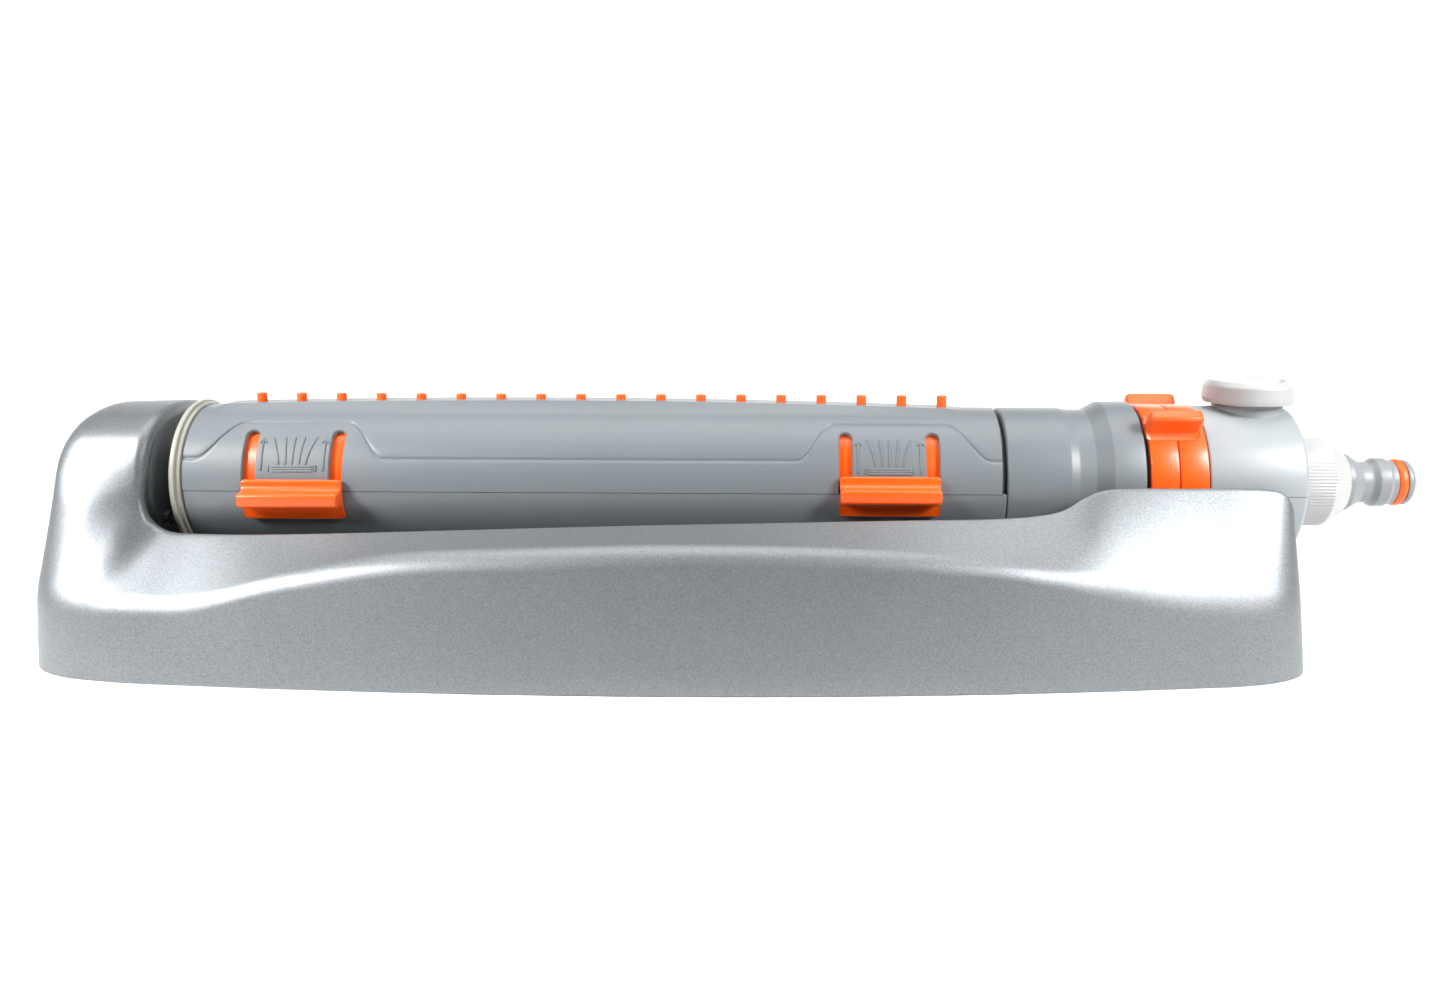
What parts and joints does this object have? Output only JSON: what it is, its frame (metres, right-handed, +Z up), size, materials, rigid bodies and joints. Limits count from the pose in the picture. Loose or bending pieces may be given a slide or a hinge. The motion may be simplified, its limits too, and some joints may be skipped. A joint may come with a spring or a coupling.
{
  "type": "oscillating lawn sprinkler",
  "caption": "Oscillating lawn sprinkler: a swinging spray tube with width sliders and range rings on a flared base, with a gear housing, flow knob and hose connection.",
  "frame": {"origin": "middle of the object's box at the level of the ground, 57.5 mm below the spray tube's axis", "axes": "+X along the spray tube towards the hose connection, -Y the front with the width sliders, +Z up"},
  "size_m": [0.486, 0.138, 0.0949],
  "materials": {
    "silver_shell": "silver-painted moulded ABS, satin",
    "grey_abs": "cool grey moulded ABS, satin",
    "pale_abs": "pale grey moulded ABS, satin",
    "warm_grey_abs": "warm grey moulded ABS, satin",
    "orange_abs": "orange moulded ABS, glossy",
    "white_abs": "white moulded ABS, satin",
    "rubber": "black moulded rubber",
    "orange_rubber": "orange moulded silicone rubber",
    "steel": "zinc-plated steel",
    "acetal": "natural moulded acetal"
  },
  "bodies": {
    "base": {"base_shell": "silver_shell", "tower_bearing": "grey_abs", "tower_screw_a": "steel", "tower_screw_b": "steel", "saddle_bracket": "grey_abs", "saddle_screw_a": "steel", "saddle_screw_b": "steel", "housing_lower": "pale_abs", "housing_upper": "pale_abs", "housing_screw_1": "steel", "housing_screw_2": "steel", "housing_screw_3": "steel", "housing_screw_4": "steel", "valve_body": "grey_abs", "stem_seal": "rubber", "gear_case": "grey_abs", "case_cover": "grey_abs", "gear_spindle_1": "steel", "gear_spindle_2": "steel", "stator_plate": "grey_abs", "output_seal": "rubber", "snap_spring": "steel", "inlet_spigot": "grey_abs", "filter_screen": "steel", "hose_washer": "rubber", "hose_nipple": "grey_abs", "nipple_o_ring": "orange_rubber"},
    "flow_valve": {"flow_knob": "white_abs", "valve_plug": "acetal"},
    "union": {"union_nut": "white_abs"},
    "turbine": {"turbine_wheel": "acetal"},
    "gear_one": {"gear_1": "acetal"},
    "gear_two": {"gear_2": "acetal"},
    "trip": {"trip_drum": "grey_abs", "reversing_flap": "grey_abs"},
    "rear_range_ring": {"range_ring_a": "orange_abs"},
    "front_range_ring": {"range_ring_b": "orange_abs"},
    "spray_tube": {"tube_body": "grey_abs", "tube_cover": "grey_abs", "nozzle_strip": "orange_rubber", "end_flange": "warm_grey_abs", "end_seal": "rubber", "end_collar": "grey_abs", "collar_seal": "rubber", "output_gear": "acetal"},
    "left_slider": {"slider_left": "orange_abs", "shutter_left": "orange_abs"},
    "right_slider": {"slider_right": "orange_abs", "shutter_right": "orange_abs"}
  },
  "joints": [
    {"name": "spray_swing", "type": "hinge", "parent": "base", "child": "spray_tube", "pos_m": [0.00445, 0, 0.0575], "axis": [1, 0, 0], "range_deg": [-45, 45]},
    {"name": "left_slider_turn", "type": "hinge", "parent": "spray_tube", "child": "left_slider", "pos_m": [-0.15315, 0, 0.0575], "axis": [-1, 0, 0], "range_deg": [0, 35]},
    {"name": "right_slider_turn", "type": "hinge", "parent": "spray_tube", "child": "right_slider", "pos_m": [0.05245, 0, 0.0575], "axis": [-1, 0, 0], "range_deg": [-4, 31]},
    {"name": "trip_turn", "type": "hinge", "parent": "base", "child": "trip", "pos_m": [0.15245, 0, 0.0575], "axis": [1, 0, 0], "range_deg": [-6, 6]},
    {"name": "front_ring_turn", "type": "hinge", "parent": "trip", "child": "front_range_ring", "pos_m": [0.14655, 0, 0.0575], "axis": [-1, 0, 0], "range_deg": [-22, 22]},
    {"name": "rear_ring_turn", "type": "hinge", "parent": "trip", "child": "rear_range_ring", "pos_m": [0.15665, 0, 0.0575], "axis": [1, 0, 0], "range_deg": [-22, 22]},
    {"name": "knob_turn", "type": "hinge", "parent": "base", "child": "flow_valve", "pos_m": [0.18265, 0, 0.0875], "axis": [0, 0, 1], "range_deg": [0, 90]},
    {"name": "union_turn", "type": "hinge", "parent": "base", "child": "union", "pos_m": [0.20445, 0, 0.0575], "axis": [1, 0, 0], "continuous": true},
    {"name": "gear_2_spin", "type": "hinge", "parent": "base", "child": "gear_two", "pos_m": [0.14945, -0.00742, 0.06112], "axis": [1, 0, 0], "continuous": true},
    {"name": "gear_1_spin", "type": "hinge", "parent": "base", "child": "gear_one", "pos_m": [0.14945, -0.00058, 0.06573], "axis": [1, 0, 0], "continuous": true},
    {"name": "turbine_spin", "type": "hinge", "parent": "base", "child": "turbine", "pos_m": [0.16445, 0, 0.0575], "axis": [1, 0, 0], "continuous": true}
  ],
  "couplings": [
    {"joint": "gear_2_spin", "follows": "spray_swing", "ratio": 4.6667},
    {"joint": "gear_1_spin", "follows": "spray_swing", "ratio": -12.444},
    {"joint": "turbine_spin", "follows": "spray_swing", "ratio": 33.185}
  ]
}
